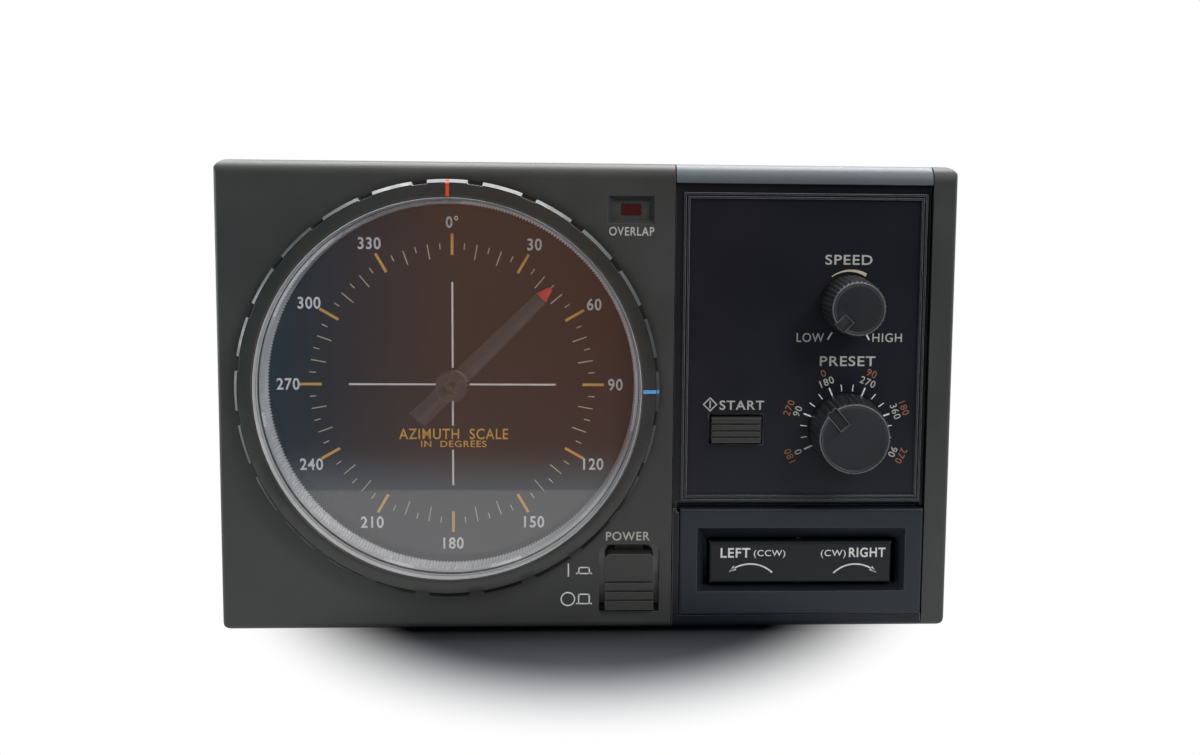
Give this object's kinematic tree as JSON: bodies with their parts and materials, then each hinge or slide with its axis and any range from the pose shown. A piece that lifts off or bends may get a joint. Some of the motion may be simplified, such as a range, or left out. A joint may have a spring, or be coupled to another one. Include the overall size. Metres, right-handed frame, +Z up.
{
  "type": "antenna rotator controller",
  "caption": "Desktop controller for an antenna rotator: round azimuth dial with pointer and turnable direction ring, knobs, start and power buttons, direction rocker, steel case on rubber feet.",
  "frame": {"origin": "middle of the object's box, on the surface that the feet stand on", "axes": "X to the right seen from the front, Y away from the viewer through the case, Z up"},
  "size_m": [0.2, 0.193, 0.13],
  "materials": {
    "case_plastic": "fine grained",
    "panel_plastic": "fine grained",
    "bezel_plastic": "satin",
    "rocker_plastic": "satin",
    "ring_plastic": "moulded",
    "window_clear": "clear",
    "scale_black": "printed",
    "serrated_metal": "toothed",
    "inner_plastic": "moulded",
    "pointer_clear": "clear",
    "gear_plastic": "moulded",
    "zinc_sheet": "plated",
    "bright_steel": "turned",
    "brass_part": "turned",
    "pot_case": "moulded",
    "lamp_glass": "clear",
    "lens_red": "clear red",
    "lamp_red": "clear red",
    "knob_plastic": "satin",
    "button_plastic": "satin",
    "switch_plastic": "moulded",
    "cover_paint": "fine texture",
    "black_screw": "blackened",
    "foot_rubber": "matte",
    "core_iron": "laminated",
    "winding_copper": "taped",
    "board_green": "coated",
    "capacitor_sleeve": "sleeved",
    "sink_aluminium": "black anodised",
    "chip_black": "moulded",
    "ribbon_grey": "flat",
    "socket_black": "moulded",
    "trimmer_white": "moulded",
    "trimmer_blue": "moulded"
  },
  "bodies": {
    "case": {"board_standoffs": "brass_part", "chassis_screws": "bright_steel", "chassis_tray": "zinc_sheet", "control_panel": "panel_plastic", "control_socket": "socket_black", "cord_grommet": "foot_rubber", "cover_screws": "black_screw", "dial_housing": "inner_plastic", "dial_lamps": "lamp_glass", "dial_window": "window_clear", "feedback_pot": "pot_case", "front_board": "board_green", "front_fascia": "case_plastic", "front_frame": "zinc_sheet", "fuse_holder": "socket_black", "gear_plate": "zinc_sheet", "heat_sink": "sink_aluminium", "indicator_motor": "zinc_sheet", "main_board": "board_green", "overlap_lamp": "lamp_red", "overlap_window": "lens_red", "panel_switches": "switch_plastic", "pot_nuts": "bright_steel", "power_switch": "switch_plastic", "power_transistors": "chip_black", "preset_pot": "pot_case", "rear_panel": "zinc_sheet", "ribbon_cable": "ribbon_grey", "rocker_pin": "bright_steel", "rotator_socket": "socket_black", "rubber_feet": "foot_rubber", "scale_plate": "scale_black", "serrated_ring": "serrated_metal", "shaft_bushes": "brass_part", "smoothing_capacitors": "capacitor_sleeve", "socket_pins": "brass_part", "speed_pot": "pot_case", "switch_bezel": "bezel_plastic", "top_cover": "cover_paint", "transformer_core": "core_iron", "transformer_frame": "zinc_sheet", "transformer_winding": "winding_copper", "trimmer_bodies": "trimmer_blue"},
    "ring": {"direction_ring": "ring_plastic"},
    "pointer": {"pointer": "pointer_clear", "pointer_shaft": "bright_steel", "pointer_gear": "gear_plastic"},
    "motor_pinion": {"motor_pinion": "brass_part"},
    "pot_gear": {"pot_gear": "gear_plastic"},
    "speed_knob": {"speed_knob": "knob_plastic", "speed_shaft": "bright_steel"},
    "preset_knob": {"preset_knob": "knob_plastic", "preset_shaft": "bright_steel"},
    "start_button": {"start_button": "button_plastic"},
    "power_button": {"power_button": "button_plastic", "power_plunger": "switch_plastic"},
    "rocker": {"direction_rocker": "rocker_plastic"},
    "fuse_cap": {"fuse_cap": "socket_black"},
    "speed_trimmer": {"speed_trimmer": "trimmer_white"},
    "scale_trimmer": {"scale_trimmer": "trimmer_white"}
  },
  "joints": [
    {"name": "ring_turn", "type": "hinge", "parent": "case", "child": "ring", "pos_m": [-0.0378, -0.0865, 0.0688], "axis": [0, 1, 0], "continuous": true},
    {"name": "pointer_turn", "type": "hinge", "parent": "case", "child": "pointer", "pos_m": [-0.0378, -0.08, 0.0688], "axis": [0, 1, 0], "range_deg": [-45, 405]},
    {"name": "pinion_turn", "type": "hinge", "parent": "case", "child": "motor_pinion", "pos_m": [-0.0378, -0.062, 0.0523], "axis": [0, 1, 0], "range_deg": [-1080, 120]},
    {"name": "pot_gear_turn", "type": "hinge", "parent": "case", "child": "pot_gear", "pos_m": [-0.0378, -0.062, 0.0988], "axis": [0, 1, 0], "range_deg": [-270, 30]},
    {"name": "speed_turn", "type": "hinge", "parent": "case", "child": "speed_knob", "pos_m": [0.0712, -0.09, 0.0924], "axis": [0, 1, 0], "range_deg": [-14, 286]},
    {"name": "preset_turn", "type": "hinge", "parent": "case", "child": "preset_knob", "pos_m": [0.0712, -0.09, 0.0571], "axis": [0, 1, 0], "range_deg": [-74.5, 155.5]},
    {"name": "start_press", "type": "slide", "parent": "case", "child": "start_button", "axis": [0, 1, 0], "range_m": [0, 0.0012], "stiffness_N_per_m": 1000, "springref_m": -0.0002},
    {"name": "power_press", "type": "slide", "parent": "case", "child": "power_button", "axis": [0, 1, 0], "range_m": [0, 0.0035]},
    {"name": "rocker_tilt", "type": "hinge", "parent": "case", "child": "rocker", "pos_m": [0.0587, -0.0791, 0.02], "axis": [0, 0, 1], "range_deg": [-2.5, 2.5], "stiffness_Nm_per_rad": 0.8},
    {"name": "fuse_cap_turn", "type": "hinge", "parent": "case", "child": "fuse_cap", "pos_m": [-0.016, 0.09, 0.034], "axis": [0, 1, 0], "range_deg": [0, 60]},
    {"name": "speed_trim_turn", "type": "hinge", "parent": "case", "child": "speed_trimmer", "pos_m": [-0.004, 0.088, 0.098], "axis": [0, 1, 0], "range_deg": [-135, 135]},
    {"name": "scale_trim_turn", "type": "hinge", "parent": "case", "child": "scale_trimmer", "pos_m": [-0.021, 0.088, 0.098], "axis": [0, 1, 0], "range_deg": [-135, 135]}
  ],
  "couplings": [
    {"joint": "pinion_turn", "follows": "pointer_turn", "ratio": -2.6667},
    {"joint": "pot_gear_turn", "follows": "pointer_turn", "ratio": -0.66667}
  ]
}
